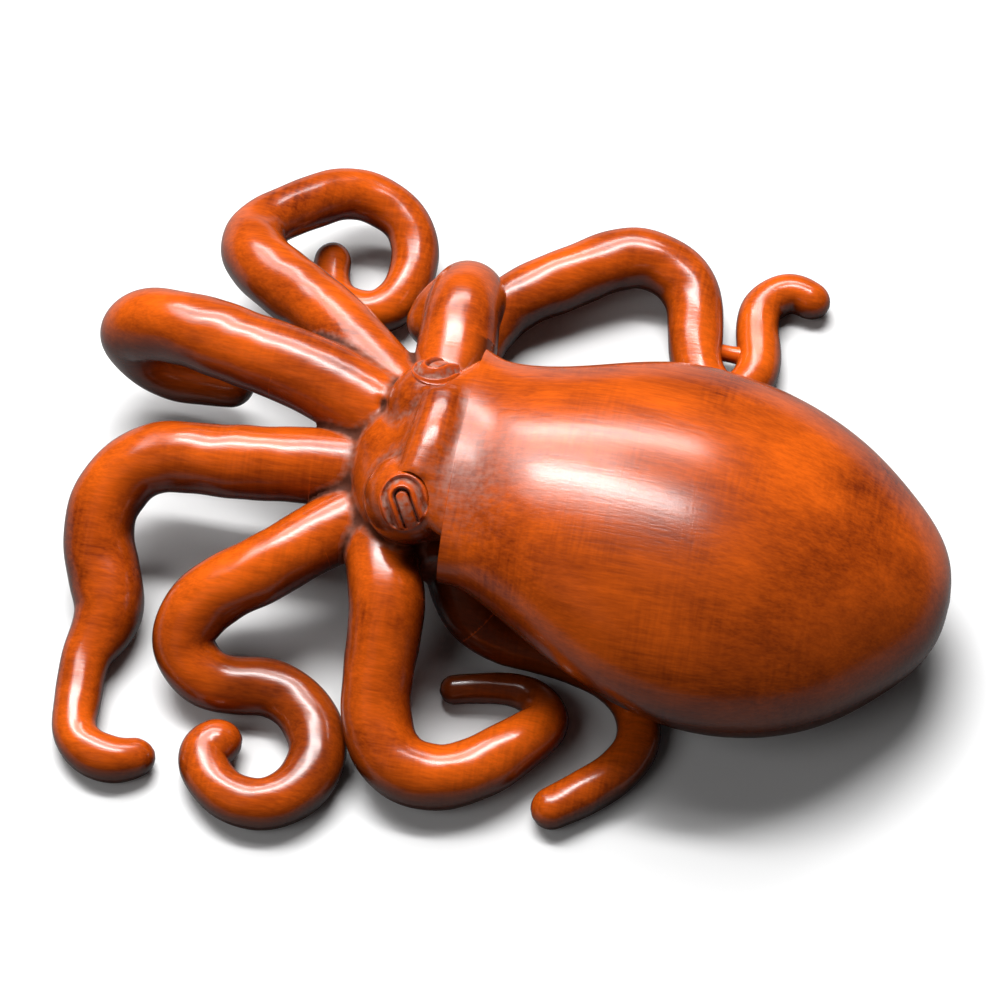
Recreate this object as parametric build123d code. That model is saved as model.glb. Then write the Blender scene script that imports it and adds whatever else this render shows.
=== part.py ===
# Octopus figurine in stained boxwood: mantle, head, two let-in eyes and eight curling arms,
# pegged and glued together.  Millimetres, +Z up, the floor at z = 0.
import os
from math import cos, pi, radians, sin

from build123d import *

# Joints between the pieces
GLUE_GAP = 0.05
ARM_PEG_DIAMETER = 1.6
ARM_PEG_LENGTH = 5.0
NECK_PEG_DIAMETER = 2.2
NECK_PEG_LENGTH = 9.0
NECK_PEG_SPREAD = 6.0

# Mantle, from the collar at the height of the neck to the tail: one row a section,
# x, middle y, middle z, half width, height above the middle, depth below it
NECK_HEIGHT_ABOVE_FLOOR = 11.0
MANTLE_ROWS = [
    (-2.8, 1.4, NECK_HEIGHT_ABOVE_FLOOR, 9.1, 4.1, 4.6),
    (-1.4, 1.0, NECK_HEIGHT_ABOVE_FLOOR, 8.8, 4.8, 5.0),
    (0.0, 0.6, NECK_HEIGHT_ABOVE_FLOOR, 9.0, 5.4, 5.5),
    (5.0, -0.4, 10.6, 11.0, 6.9, 6.8),
    (10.0, -0.6, 9.8, 12.9, 7.6, 7.5),
    (14.8, -0.8, 9.0, 13.4, 7.8, 8.3),
    (19.4, -0.8, 8.2, 12.6, 7.4, 8.6),
    (24.0, -0.7, 7.4, 10.5, 6.2, 7.4),
    (27.6, -0.5, 6.8, 7.5, 4.6, 5.3),
    (30.2, -0.3, 6.4, 4.3, 2.6, 2.9),
    (31.2, -0.1, 6.3, 1.2, 0.8, 0.9),
]
SECTION_POINTS = 16
COLLAR_WALL = 1.3
COLLAR_DEPTH = 4.0
RIM_OVERLAP = 1.0

# Head, from its front over the brow ridge to the valley at the collar, in rows like the mantle's
HEAD_ROWS = [
    (-10.3, 1.8, 9.6, 2.4, 1.2, 2.0),
    (-9.2, 1.5, 9.8, 4.4, 2.4, 3.4),
    (-7.2, 1.1, 10.4, 5.8, 3.5, 4.0),
    (-4.5, 1.0, 11.2, 6.6, 5.2, 3.8),
    (-3.7, 1.2, 11.2, 6.9, 4.7, 3.4),
    (-2.85, 1.4, 11.1, 7.6, 4.0, 3.0),
]

# Crown under the head, that the arms grow from, and the neck let into the collar
CROWN_CENTRE = (-6.8, 2.0, 6.4)
CROWN_HALF = (6.2, 7.6, 4.2)
NECK_START = -5.6
NECK_WIDTH = 11.0
NECK_HEIGHT = 5.4

# Eyes: oval domed plugs let into a mound at each side of the head; place and side of each
EYE_MOUND_RADIUS = 3.1
EYE_PLUG_RADIUS = 1.7
EYE_PLUG_DEPTH = 2.2
EYE_DOME_HEIGHT = 0.2
EYE_DOME_RADIUS = 3.1
EYE_OVAL = 1.18
EYE_ARCH_RADIUS = 0.62
EYE_ARCH_RISE = 0.25
EYE_GROOVE_WIDTH = 0.2
EYE_GROOVE_DEPTH = 0.3
EYE_PLACES = {"left_eye": ((-5.7, -4.4, 14.6), -1), "right_eye": ((-5.6, 6.2, 14.6), 1)}
EYE_LEAN = 35.0

# Arms: rows of x, y, z, radius along the middle of the arm, root in the head first.
# The row SEAT_ROW is the flat seat where the arm is pegged to the head.
SEAT_ROW = 2
SECTION_STEP = 1.7
ROOT_SECTIONS = 4
TIP_ANGLES = (30, 58, 80)
RIGHT_ARM_1 = [
    (-9.5, 5.4, 9.4, 3.0), (-13.2, 6.7, 10.1, 2.8), (-16.6, 7.6, 10.4, 2.7), (-20.6, 8.5, 10.4, 2.65),
    (-24.6, 9.5, 9.8, 2.6), (-28.0, 10.2, 7.1, 2.5), (-26.4, 9.8, 4.5, 2.2), (-22.4, 9.4, 4.0, 1.9),
    (-19.4, 9.2, 4.2, 1.5),
]
RIGHT_ARM_2 = [
    (-8.5, 7.0, 9.0, 2.8), (-11.6, 10.0, 9.1, 2.6), (-14.6, 12.9, 8.8, 2.4), (-18.4, 15.6, 8.2, 2.4),
    (-21.3, 18.4, 7.4, 2.35), (-21.6, 20.9, 6.5, 2.05), (-18.9, 24.5, 5.5, 1.9), (-15.5, 26.8, 4.4, 1.85),
    (-11.9, 25.7, 3.4, 1.75), (-10.7, 22.0, 2.5, 1.7), (-12.3, 18.9, 1.8, 1.6), (-15.5, 19.5, 1.3, 1.45),
    (-16.8, 24.3, 1.2, 1.3),
]
RIGHT_ARM_3 = [
    (-5.0, 6.5, 9.2, 2.9), (-5.1, 9.2, 9.8, 2.85), (-5.2, 11.4, 10.2, 2.8), (-5.4, 14.6, 10.0, 2.75),
    (-5.7, 17.1, 7.8, 2.55), (-7.6, 17.0, 5.7, 1.95), (-8.8, 15.0, 4.3, 1.5),
]
RIGHT_ARM_4 = [
    (-2.6, 6.0, 5.2, 2.6), (-3.4, 9.0, 4.6, 2.5), (-4.3, 12.0, 3.6, 2.3), (-5.0, 16.4, 2.1, 2.05),
    (-3.6, 20.2, 2.4, 2.15), (0.6, 23.5, 3.0, 2.2), (5.8, 26.0, 3.2, 2.2), (9.0, 24.5, 2.7, 2.1),
    (10.2, 20.9, 2.2, 1.95), (11.2, 17.8, 1.7, 1.8), (13.3, 16.5, 1.5, 1.7), (14.9, 18.7, 1.4, 1.6),
    (14.5, 22.4, 1.35, 1.55), (14.6, 24.9, 1.3, 1.5), (16.3, 26.3, 1.3, 1.45), (19.0, 25.2, 1.2, 1.3),
]
LEFT_ARM_1 = [
    (-8.5, 1.8, 7.8, 2.9), (-11.0, 1.4, 8.0, 2.75), (-13.4, 1.1, 8.2, 2.65), (-20.0, 0.4, 8.0, 2.5),
    (-24.9, -0.1, 7.1, 2.45), (-27.2, -2.9, 5.4, 2.4), (-26.8, -6.3, 3.5, 2.5), (-25.6, -9.6, 2.3, 2.4),
    (-26.3, -12.9, 1.7, 1.75), (-26.2, -16.2, 1.4, 1.6), (-25.6, -19.0, 1.3, 1.55), (-23.0, -20.3, 1.3, 1.6),
    (-20.2, -19.0, 1.0, 1.1),
]
LEFT_ARM_2 = [
    (-7.5, -0.6, 7.2, 2.8), (-10.0, -2.4, 7.4, 2.55), (-12.2, -4.3, 7.4, 2.35), (-15.6, -7.1, 6.6, 2.35),
    (-18.6, -9.0, 5.2, 2.35), (-19.7, -11.6, 3.5, 2.15), (-17.6, -13.4, 2.2, 2.05), (-13.6, -13.1, 1.8, 2.0),
    (-10.3, -14.9, 1.75, 2.0), (-9.2, -18.4, 1.7, 1.95), (-11.6, -21.7, 1.6, 1.8), (-15.2, -21.2, 1.6, 1.7),
    (-16.7, -18.7, 1.6, 1.7), (-14.5, -17.1, 1.6, 1.6),
]
LEFT_ARM_3 = [
    (-8.0, -2.2, 7.4, 2.4), (-7.2, -5.0, 7.7, 2.5), (-6.2, -8.1, 7.2, 2.6), (-6.0, -11.2, 5.7, 2.45),
    (-5.6, -14.8, 3.8, 2.35), (-4.0, -17.4, 2.7, 2.35), (-1.0, -18.0, 2.3, 2.25), (2.2, -16.4, 2.4, 2.1),
    (4.4, -14.2, 2.5, 1.9), (5.5, -12.1, 2.0, 1.6), (4.2, -10.2, 1.5, 1.25), (1.6, -9.9, 1.3, 1.1),
    (-2.1, -10.7, 1.05, 0.97),
]
LEFT_ARM_4 = [
    (-2.4, -2.8, 5.4, 2.3), (-1.6, -4.9, 4.4, 2.1), (-0.2, -6.2, 3.3, 1.85), (3.8, -6.7, 1.7, 1.5),
    (8.0, -7.4, 1.4, 1.45), (11.2, -9.6, 1.4, 1.5), (11.8, -12.9, 1.4, 1.5), (9.6, -16.2, 1.35, 1.55),
    (6.0, -19.2, 1.3, 1.4),
]
ARMS = {
    "right_arm_1": RIGHT_ARM_1,
    "right_arm_2": RIGHT_ARM_2,
    "right_arm_3": RIGHT_ARM_3,
    "right_arm_4": RIGHT_ARM_4,
    "left_arm_1": LEFT_ARM_1,
    "left_arm_2": LEFT_ARM_2,
    "left_arm_3": LEFT_ARM_3,
    "left_arm_4": LEFT_ARM_4,
}

# Web of wood left standing between the two sides of the hairpin in right arm 4
WEB_FROM = (10.6, 20.0, 1.9)
WEB_TO = (14.8, 20.2, 1.4)
WEB_DIAMETER = 1.7

FLOOR_CUT = 200.0


def below_floor():
    return Pos(0, 0, -FLOOR_CUT / 2) * Box(FLOOR_CUT, FLOOR_CUT, FLOOR_CUT)


def ellipsoid(centre, half):
    return Pos(*centre) * scale(Sphere(1), by=half)


def body_section(row, inset=0.0):
    x, middle_y, middle_z, half_width, above, below = row
    points = []
    for index in range(SECTION_POINTS):
        angle = 2 * pi * index / SECTION_POINTS
        reach = above if sin(angle) > 0 else below
        y = middle_y + (half_width - inset) * cos(angle)
        z = middle_z + (reach - inset) * sin(angle)
        points.append((x, y, z))
    return Face(Wire(Spline(*points, periodic=True)))


def mantle_block():
    # The whole egg-shaped body, its belly cut flat to stand on
    egg = loft([body_section(row) for row in MANTLE_ROWS])
    return egg - below_floor()


def collar_pocket():
    # The hollow behind the collar that the neck is let into
    first = MANTLE_ROWS[0]
    second = MANTLE_ROWS[1]
    front = (first[0] - RIM_OVERLAP,) + first[1:]
    back = (first[0] + COLLAR_DEPTH,) + second[1:]
    return loft([body_section(front, COLLAR_WALL), body_section(back, COLLAR_WALL)])


def neck_face_x():
    return MANTLE_ROWS[0][0] + COLLAR_DEPTH


def neck():
    # Oval bar from the middle of the head to the floor of the collar pocket
    start = (NECK_START, MANTLE_ROWS[0][1], NECK_HEIGHT_ABOVE_FLOOR)
    across = Plane(origin=start, x_dir=(0, 1, 0), z_dir=(1, 0, 0))
    return extrude(across * Ellipse(NECK_WIDTH / 2, NECK_HEIGHT / 2), neck_face_x() - NECK_START)


def neck_peg_places():
    middle_y = MANTLE_ROWS[0][1]
    places = []
    for side in (-1, 1):
        origin = (neck_face_x(), middle_y + side * NECK_PEG_SPREAD / 2, NECK_HEIGHT_ABOVE_FLOOR)
        places.append(Plane(origin=origin, x_dir=(0, 1, 0), z_dir=(1, 0, 0)))
    return places


def peg(diameter, length):
    return Cylinder(diameter / 2, length)


def peg_hole(diameter, length):
    return Cylinder(diameter / 2 + GLUE_GAP, length + 2 * GLUE_GAP)


def row_shares(rows):
    # How far along the arm each row lies, as a share of its length
    steps = [0.0]
    for here, after in zip(rows, rows[1:]):
        steps.append(steps[-1] + (Vector(*after[:3]) - Vector(*here[:3])).length)
    return [step / steps[-1] for step in steps]


def radius_at(rows, share):
    shares = row_shares(rows)
    for index in range(len(rows) - 1):
        if share <= shares[index + 1]:
            part = (share - shares[index]) / (shares[index + 1] - shares[index])
            return rows[index][3] + part * (rows[index + 1][3] - rows[index][3])
    return rows[-1][3]


def planes_along(line, shares):
    # Planes square to the line that don't twist from one to the next
    side = line.tangent_at(shares[0]).cross(Vector(0, 0, 1)).normalized()
    planes = []
    for share in shares:
        tangent = line.tangent_at(share).normalized()
        side = (side - tangent * side.dot(tangent)).normalized()
        planes.append(Plane(origin=line.position_at(share), x_dir=side, z_dir=tangent))
    return planes


def tube(line, shares, radii):
    sections = []
    for plane, radius in zip(planes_along(line, shares), radii):
        sections.append(plane * Circle(radius))
    return loft(sections)


def arm_line(rows):
    return Spline(*[row[:3] for row in rows])


def seat_share(rows):
    return row_shares(rows)[SEAT_ROW]


def seat_plane(rows):
    line = arm_line(rows)
    share = seat_share(rows)
    return Plane(origin=line.position_at(share), z_dir=line.tangent_at(share))


def arm_root(rows):
    # The stump on the head, from inside the crown out to the seat
    line = arm_line(rows)
    seat = seat_share(rows)
    shares = [seat * index / (ROOT_SECTIONS - 1) for index in range(ROOT_SECTIONS)]
    return tube(line, shares, [radius_at(rows, share) for share in shares])


def arm_body(rows):
    # The free arm, from the seat to its rounded tip
    line = arm_line(rows)
    seat = seat_share(rows)
    end_radius = rows[-1][3]
    tip = 1 - end_radius / line.length
    count = round((tip - seat) * line.length / SECTION_STEP)
    shares = [seat + (tip - seat) * index / count for index in range(count + 1)]
    radii = [radius_at(rows, share) for share in shares]
    last = radii[-1]
    for angle in TIP_ANGLES:
        shares.append(tip + (1 - tip) * sin(radians(angle)))
        radii.append(last * cos(radians(angle)))
    return tube(line, shares, radii)


def hairpin_web():
    start = Vector(*WEB_FROM)
    end = Vector(*WEB_TO)
    return Plane(origin=start, z_dir=end - start) * extrude(Circle(WEB_DIAMETER / 2), (end - start).length)


def arm(name):
    rows = ARMS[name]
    body = arm_body(rows)
    if name == "right_arm_4":
        body += hairpin_web()
    body -= seat_plane(rows) * peg_hole(ARM_PEG_DIAMETER, ARM_PEG_LENGTH)
    body -= ellipsoid(CROWN_CENTRE, CROWN_HALF)
    return body - below_floor()


def eye_frame(place, side):
    return Pos(*place) * Rot(-side * EYE_LEAN, 0, 0)


def eye_outline(radius, height):
    # An oval block with its middle at the origin
    return extrude(Ellipse(radius, radius * EYE_OVAL), height / 2, both=True)


def eye_ball(inset=0.0):
    # The ball whose cap is the dome of the eye
    return Pos(0, 0, EYE_DOME_HEIGHT - EYE_DOME_RADIUS) * Rot(90, 0, 0) * Sphere(EYE_DOME_RADIUS - inset)


def eye_arch(radius):
    # A round head on two straight legs that run out over the edge of the eye
    leg = 2 * EYE_PLUG_RADIUS
    return Pos(0, EYE_ARCH_RISE) * (Circle(radius) + Pos(0, -leg / 2) * Rectangle(2 * radius, leg))


def eye_groove():
    # The arch-shaped slit round the pupil
    slit = eye_arch(EYE_ARCH_RADIUS + EYE_GROOVE_WIDTH / 2) - eye_arch(EYE_ARCH_RADIUS - EYE_GROOVE_WIDTH / 2)
    return extrude(slit, EYE_PLUG_DEPTH, both=True)


def eye(place, side):
    height = EYE_DOME_HEIGHT + EYE_PLUG_DEPTH
    block = Pos(0, 0, height / 2 - EYE_PLUG_DEPTH) * eye_outline(EYE_PLUG_RADIUS, height)
    groove = eye_groove() - eye_ball(EYE_GROOVE_DEPTH)
    legs_outward = Rot(0, 0, 90 + 90 * side)
    return eye_frame(place, side) * legs_outward * ((block & eye_ball()) - groove)


def eye_socket(place, side):
    depth = EYE_PLUG_DEPTH + EYE_MOUND_RADIUS
    middle = depth / 2 - EYE_PLUG_DEPTH
    return eye_frame(place, side) * Pos(0, 0, middle) * eye_outline(EYE_PLUG_RADIUS + GLUE_GAP, depth)


def eye_mound(place, side):
    return eye_frame(place, side) * Pos(0, 0, -EYE_MOUND_RADIUS) * Sphere(EYE_MOUND_RADIUS)


def head(mantle_shape):
    block = loft([body_section(row) for row in HEAD_ROWS])
    grown = [ellipsoid(CROWN_CENTRE, CROWN_HALF), neck()]
    cuts = [mantle_shape, below_floor()]
    for rows in ARMS.values():
        grown.append(arm_root(rows))
        cuts.append(seat_plane(rows) * peg_hole(ARM_PEG_DIAMETER, ARM_PEG_LENGTH))
    for place, side in EYE_PLACES.values():
        grown.append(eye_mound(place, side))
        cuts.append(eye_socket(place, side))
    for place in neck_peg_places():
        cuts.append(place * peg_hole(NECK_PEG_DIAMETER, NECK_PEG_LENGTH))
    return block + grown - cuts


def mantle(mantle_shape):
    holes = [place * peg_hole(NECK_PEG_DIAMETER, NECK_PEG_LENGTH) for place in neck_peg_places()]
    return mantle_shape - holes


def build():
    mantle_shape = mantle_block() - collar_pocket()
    nodes = {"mantle": [mantle(mantle_shape)], "head": [head(mantle_shape)]}
    for name, (place, side) in EYE_PLACES.items():
        nodes[name] = [eye(place, side)]
    for name in ARMS:
        nodes[name] = [arm(name)]
    nodes["arm_pegs"] = [seat_plane(rows) * peg(ARM_PEG_DIAMETER, ARM_PEG_LENGTH) for rows in ARMS.values()]
    nodes["neck_pegs"] = [place * peg(NECK_PEG_DIAMETER, NECK_PEG_LENGTH) for place in neck_peg_places()]
    return nodes


nodes = build()
whole = Compound(children=[solid for group in nodes.values() for shape in group for solid in shape.solids()])
box = whole.bounding_box()
centring = Pos(-box.center().X, -box.center().Y, 0)
os.makedirs("parts", exist_ok=True)
for name, group in nodes.items():
    solids = [solid for shape in group for solid in (centring * shape).solids()]
    piece = solids[0] if len(solids) == 1 else Compound(children=solids)
    export_step(piece, f"parts/{name}.step")
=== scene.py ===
import math

import bmesh
import bpy
import numpy as np
from mathutils import Matrix, Vector


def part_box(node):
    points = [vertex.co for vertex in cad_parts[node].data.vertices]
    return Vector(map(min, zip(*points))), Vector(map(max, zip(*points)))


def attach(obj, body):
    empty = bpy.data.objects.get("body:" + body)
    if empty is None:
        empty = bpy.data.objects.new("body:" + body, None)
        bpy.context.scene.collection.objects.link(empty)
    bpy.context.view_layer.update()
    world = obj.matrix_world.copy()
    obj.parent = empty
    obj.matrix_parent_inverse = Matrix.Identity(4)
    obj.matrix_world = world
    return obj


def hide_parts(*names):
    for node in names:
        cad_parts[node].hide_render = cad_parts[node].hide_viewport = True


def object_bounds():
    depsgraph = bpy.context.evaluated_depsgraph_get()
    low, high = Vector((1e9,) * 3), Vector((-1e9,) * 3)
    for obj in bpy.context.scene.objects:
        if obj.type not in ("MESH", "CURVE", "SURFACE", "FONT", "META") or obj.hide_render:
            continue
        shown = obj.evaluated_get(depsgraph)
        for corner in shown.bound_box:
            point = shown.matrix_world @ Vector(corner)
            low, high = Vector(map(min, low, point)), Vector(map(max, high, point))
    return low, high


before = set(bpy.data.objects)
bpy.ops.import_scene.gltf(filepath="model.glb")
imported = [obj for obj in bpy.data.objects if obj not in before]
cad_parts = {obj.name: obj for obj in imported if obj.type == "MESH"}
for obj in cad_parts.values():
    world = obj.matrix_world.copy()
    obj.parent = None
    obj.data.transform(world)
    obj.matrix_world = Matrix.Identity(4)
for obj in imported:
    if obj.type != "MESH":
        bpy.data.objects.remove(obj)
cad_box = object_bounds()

# The mantle.
# The big egg-shaped body, cut and rubbed smooth from a block of boxwood, with a thin flared collar at
# the front that the neck is let into and a belly rubbed flat where it lies on the table.

# The carving is set out in millimetres from the middle of the head, on the table that it lies on.  The
# pegs in the neck, which the frame holds, say where that point lies in metres.
MM = 0.001
NECK_PEGS_MIDDLE = Vector((1.2, 1.4, 11.0))
peg_low, peg_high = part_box("neck_pegs")
SETTING_OUT = (Vector(peg_low) + Vector(peg_high)) / 2 - NECK_PEGS_MIDDLE * MM

# Rows: x, middle y, middle z, half width, height above the middle, depth below it.
MANTLE_ROWS = [
    (-2.8, 1.4, 11.0, 9.1, 4.8, 4.6),
    (-1.4, 1.0, 11.0, 8.8, 5.0, 5.0),
    (0.0, 0.6, 11.0, 9.0, 5.42, 5.5),
    (5.0, -0.4, 10.6, 11.0, 6.9, 6.8),
    (10.0, -0.6, 9.8, 12.9, 7.6, 7.5),
    (14.8, -0.8, 9.0, 13.4, 7.8, 8.3),
    (19.4, -0.8, 8.2, 12.6, 7.4, 8.6),
    (24.0, -0.7, 7.4, 10.5, 6.2, 7.4),
    (27.6, -0.5, 6.8, 7.5, 4.6, 5.3),
    (30.2, -0.3, 6.4, 4.3, 2.6, 2.9),
    (30.95, -0.2, 6.3, 2.3, 1.4, 1.5),
    (31.2, -0.1, 6.3, 0.05, 0.04, 0.04),
]
MANTLE_RINGS = 190
BODY_AROUND = 220
COLLAR_WALL = 1.3
COLLAR_DEPTH = 4.0
COLLAR_RINGS = 8
RIM_ROUNDING = 0.04
RIM_TURNS = (30, 60, 90)
VALLEY_MIDDLE = (-1.8, -2.4, 15.0)
VALLEY_REACH = 2.6
VALLEY_DEPTH = 0.5
BODY_DEPTH = 0.10
BAND_DEPTH = 0.30
BAND_TURN = 130.0
BAND_WIDTH = 26.0
BAND_START = 1.0
BAND_LENGTH = 9.0
SHARP_EDGE = 40.0


def row_places(rows):
    # How far along the curve each row lies, with what the shape widens or narrows on the way
    steps = np.linalg.norm(np.diff(np.array(rows)[:, :4], axis=0), axis=1)
    return np.concatenate(([0.0], np.cumsum(steps)))


def along_rows(rows, places):
    # Rows at the given lengths along the smooth curve through all the rows
    rows = np.array(rows)
    knots = row_places(rows)
    steps = np.diff(knots)
    count = len(rows)
    bend = np.zeros((count, count))
    pull = np.zeros_like(rows)
    bend[0, :2] = 2, 1
    bend[-1, -2:] = 1, 2
    pull[0] = 3 * (rows[1] - rows[0]) / steps[0]
    pull[-1] = 3 * (rows[-1] - rows[-2]) / steps[-1]
    for row in range(1, count - 1):
        before, after = steps[row - 1], steps[row]
        bend[row, row - 1:row + 2] = after, 2 * (before + after), before
        pull[row] = 3 * after * (rows[row] - rows[row - 1]) / before
        pull[row] += 3 * before * (rows[row + 1] - rows[row]) / after
    slopes = np.linalg.solve(bend, pull)
    places = np.asarray(places)
    span = np.clip(np.searchsorted(knots, places, side="right") - 1, 0, count - 2)
    width = steps[span][:, None]
    part = (places - knots[span])[:, None] / width
    leave, arrive = slopes[span] * width, slopes[span + 1] * width
    curve = rows[span] * (2 * part ** 3 - 3 * part ** 2 + 1) + leave * (part ** 3 - 2 * part ** 2 + part)
    return curve + rows[span + 1] * (3 * part ** 2 - 2 * part ** 3) + arrive * (part ** 3 - part ** 2)


def body_ring(row, inset=0.0):
    # An oval across the body, flat where it lies on the table
    x, middle_y, middle_z, half_width, above, below = row
    turn = np.linspace(0, 2 * math.pi, BODY_AROUND, endpoint=False)
    reach = np.where(np.sin(turn) > 0, above, below) - inset
    y = middle_y + (half_width - inset) * np.cos(turn)
    z = np.maximum(middle_z + reach * np.sin(turn), 0.0)
    return np.stack([np.full(BODY_AROUND, x), y, z], 1)


def ring_faces(rings, around):
    # Quads between rings of points that close on themselves, and a face over each end
    ring, step = np.meshgrid(np.arange(rings - 1), np.arange(around), indexing="ij")
    after = (step + 1) % around
    low, high = ring * around, (ring + 1) * around
    faces = np.stack([low + step, low + after, high + after, high + step], -1).reshape(-1, 4).tolist()
    faces.append(list(reversed(range(around))))
    faces.append(list(range((rings - 1) * around, rings * around)))
    return faces


def mark(mesh, name, values):
    # Gives each point of a mesh a value that the stain reads
    marks = mesh.attributes.new(name, "FLOAT", "POINT")
    if values is not None:
        marks.data.foreach_set("value", np.asarray(values, np.float32).reshape(-1))


def piece_of_rings(name, rings, creases=None, stain_and_shade=None):
    # A closed piece in millimetres over rings of points, with how deep each point lies in a crease, which is
    # darkened as painted shade, and how much deeper stain and painted shade each point has
    rings = np.asarray(rings)
    mesh = bpy.data.meshes.new(name)
    mesh.from_pydata(rings.reshape(-1, 3).tolist(), [], ring_faces(*rings.shape[:2]))
    solid = bmesh.new()
    solid.from_mesh(mesh)
    bmesh.ops.recalc_face_normals(solid, faces=solid.faces)
    solid.to_mesh(mesh)
    solid.free()
    mark(mesh, "crease", creases)
    mark(mesh, "stain", stain_and_shade)
    piece = bpy.data.objects.new(name, mesh)
    bpy.context.collection.objects.link(piece)
    return piece


def egg_rings(rows, count):
    # Ovals at even steps along the smooth curve through the rows
    places = np.linspace(0, row_places(rows)[-1], count)
    return [body_ring(row) for row in along_rows(rows, places)]


def valley_dust_and_shade(points):
    # How dusty the valley between the head and the mantle is, with painted shade in it too, most on the near
    # side
    away = np.linalg.norm(points - VALLEY_MIDDLE, axis=-1) / VALLEY_REACH
    return VALLEY_DEPTH * np.exp(-away ** 2)


def mantle():
    # The egg with its rounded rim and the hollow of the collar, stained deeper along one side, with painted
    # shade inside the hollow of the collar
    rings = egg_rings(MANTLE_ROWS, MANTLE_RINGS)[::-1]
    front = MANTLE_ROWS[0]
    for turn in RIM_TURNS:
        rim = body_ring(front, RIM_ROUNDING * (1 - math.cos(math.radians(turn))))
        rim[:, 0] += RIM_ROUNDING * (1 - math.sin(math.radians(turn)))
        rings.append(rim)
    pocket = along_rows(MANTLE_ROWS, np.linspace(0, COLLAR_DEPTH, COLLAR_RINGS))
    rings += [body_ring(row, COLLAR_WALL) for row in pocket]
    points = np.array(rings)
    creases = valley_dust_and_shade(points)
    turn = np.degrees(np.linspace(0, 2 * math.pi, BODY_AROUND, endpoint=False))
    band = BODY_DEPTH + BAND_DEPTH * np.exp(-((turn - BAND_TURN) / BAND_WIDTH) ** 2)
    stain_and_shade = band * np.clip((points[..., 0] - BAND_START) / BAND_LENGTH, 0, 1)
    # Painted shade: the inside of the collar's hollow is darkened in full
    stain_and_shade[-len(pocket):] = 1.0
    return piece_of_rings("mantle", rings, creases, stain_and_shade)


# What makes up the figure of the wood, each as features to the millimetre along, across and up the
# block, how fine its detail is, and the span of the noise that is spread from none to full.
BLOTCHES = ((0.11, 0.17, 0.17), 3, 0.34, 0.66)
STREAKS = ((0.10, 2.6, 2.6), 4, 0.30, 0.70)
PATCHES = ((0.13, 0.13, 0.13), 1, 0.42, 0.62)
STROKES = ((3.6, 0.36, 0.36), 3, 0.36, 0.70)
GRAIN = ((1.1, 7.5, 7.5), 3, 0.34, 0.66)
DUST_SPECKS = ((2.2, 2.2, 2.2), 4, 0.40, 0.70)
BLOTCH_SHARE = 0.60
STREAK_SHARE = 0.28
GRAIN_SHARE = 0.20
STROKE_SHARE = 0.22
PALE_SHARE = 0.05
# Painted shade on what faces down: the upward facing where it starts, where it is full, and how deep it goes
UNDERSIDE_SHADE_FROM = 0.48
UNDERSIDE_SHADE_FULL = -0.35
UNDERSIDE_SHADE_DEPTH = 0.88
# How the crease mark turns into painted shade, how far painted shade and deeper stain darken, and the near
# black they darken toward
CREASE_POWER = 1.2
DARKEST = 0.9
STAIN_AND_SHADE_BLACK = (0.030, 0.007, 0.002, 1)
DUST = (0.38, 0.20, 0.155, 1)
POLISH_ROUGHNESS = 0.25
PALE_WOOD_ROUGHNESS = -0.06
CREASE_ROUGHNESS = 0.6
WAX_COAT = 0.4
WAX_IOR = 1.45
WAX_ROUGHNESS = 0.17
GRAIN_HEIGHT = 0.7
STROKE_HEIGHT = 0.8
FIGURE_RELIEF = 0.02
FIGURE_BUMP = 0.2


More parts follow.
